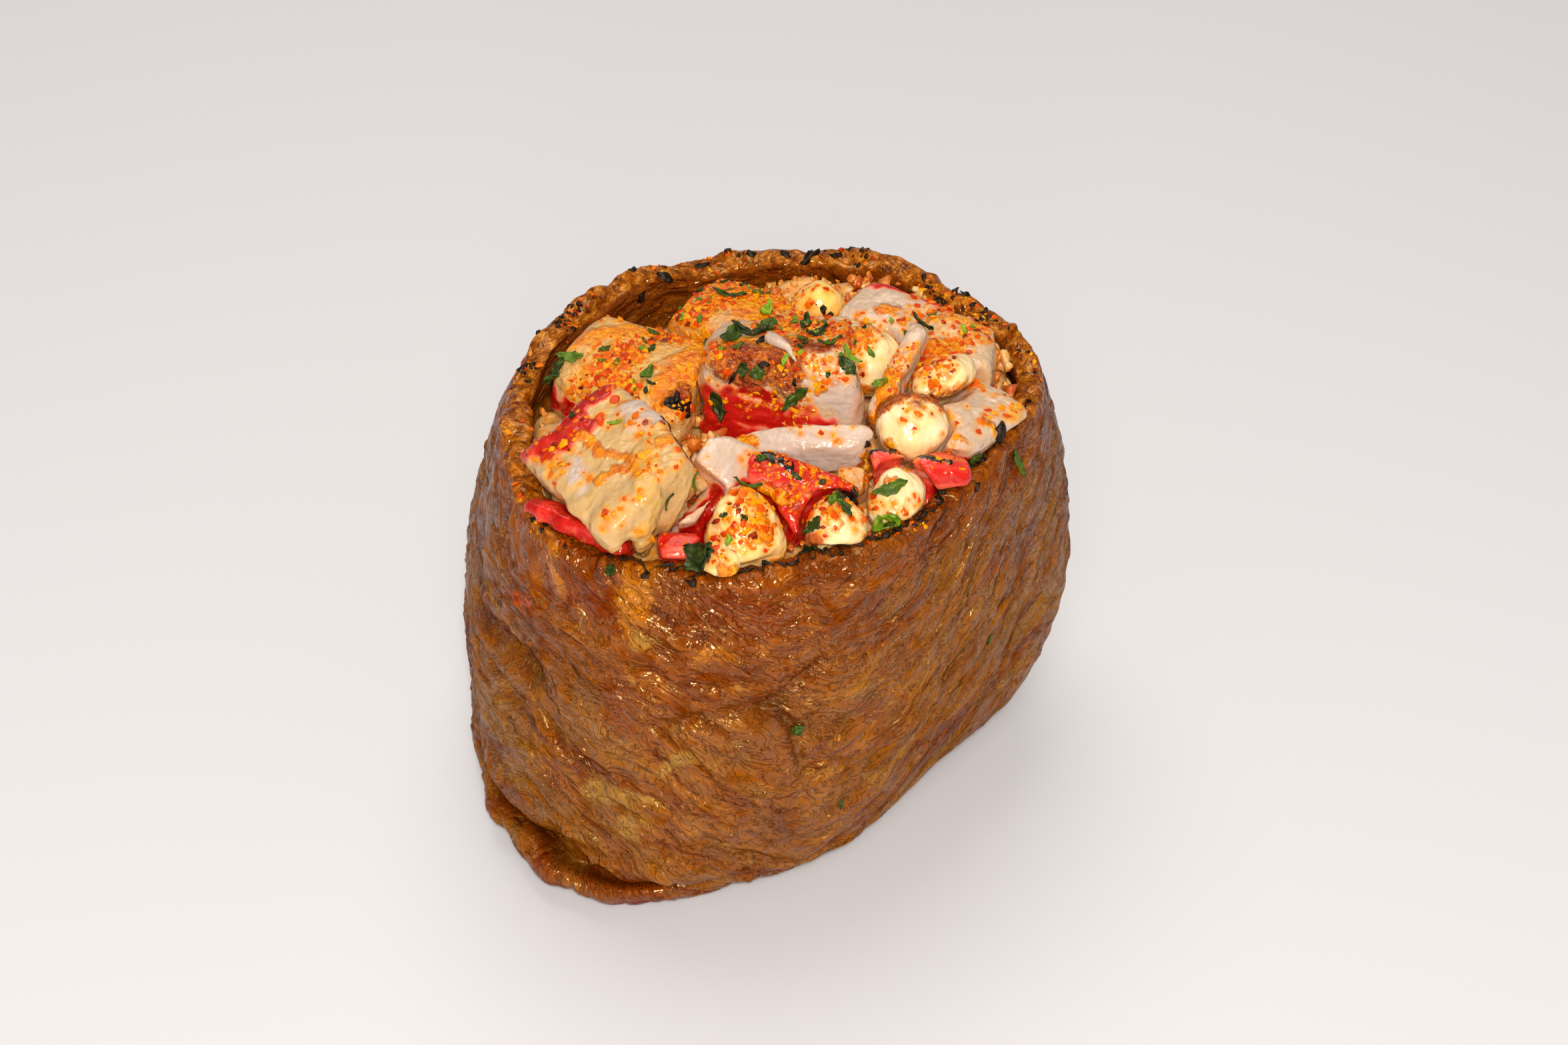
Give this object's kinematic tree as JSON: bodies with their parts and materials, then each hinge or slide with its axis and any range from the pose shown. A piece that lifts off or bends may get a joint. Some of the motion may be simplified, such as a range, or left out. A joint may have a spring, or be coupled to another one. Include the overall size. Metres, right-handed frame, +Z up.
{
  "type": "inari sushi",
  "caption": "Open inari sushi: a folded pouch of simmered fried tofu, filled to the brim, with a heaped topping of torched crab stick and creamy dressing.",
  "frame": {"origin": "on the table under the middle of the pouch", "axes": "+X along the pouch's long way, away from its folded closed end; +Y towards the side where the bed dips below the rim; +Z up, out of the open mouth"},
  "size_m": [0.0616, 0.0538, 0.0491],
  "materials": {
    "tofu_skin": "moist, wrinkled, glossy in patches",
    "crumb": "crumbly, moist and slightly translucent",
    "crab_white": "fibrous and moist, satin, torched in places",
    "crab_red": "smooth moist skin, satin to glossy",
    "mayonnaise": "creamy and glossy, browned in places"
  },
  "bodies": {
    "root": {"crab_back": "crab_white", "crab_back_left": "crab_white", "crab_back_right": "crab_white", "crab_centre": "crab_red", "crab_left": "crab_white", "crab_left_under": "crab_red", "crab_red_front": "crab_red", "crab_red_right": "crab_red", "crab_red_rim": "crab_red", "crab_right": "crab_white", "crab_shred": "crab_white", "crab_slab_right": "crab_white", "crab_standing": "crab_white", "crab_strip_centre": "crab_white", "crab_strip_right": "crab_white", "filling": "crumb", "mayo_back": "mayonnaise", "mayo_ball": "mayonnaise", "mayo_cone": "mayonnaise", "mayo_drip": "mayonnaise", "mayo_front": "mayonnaise", "mayo_front_right": "mayonnaise", "mayo_ridge": "mayonnaise", "mayo_streak": "mayonnaise", "pouch": "tofu_skin"}
  },
  "joints": []
}
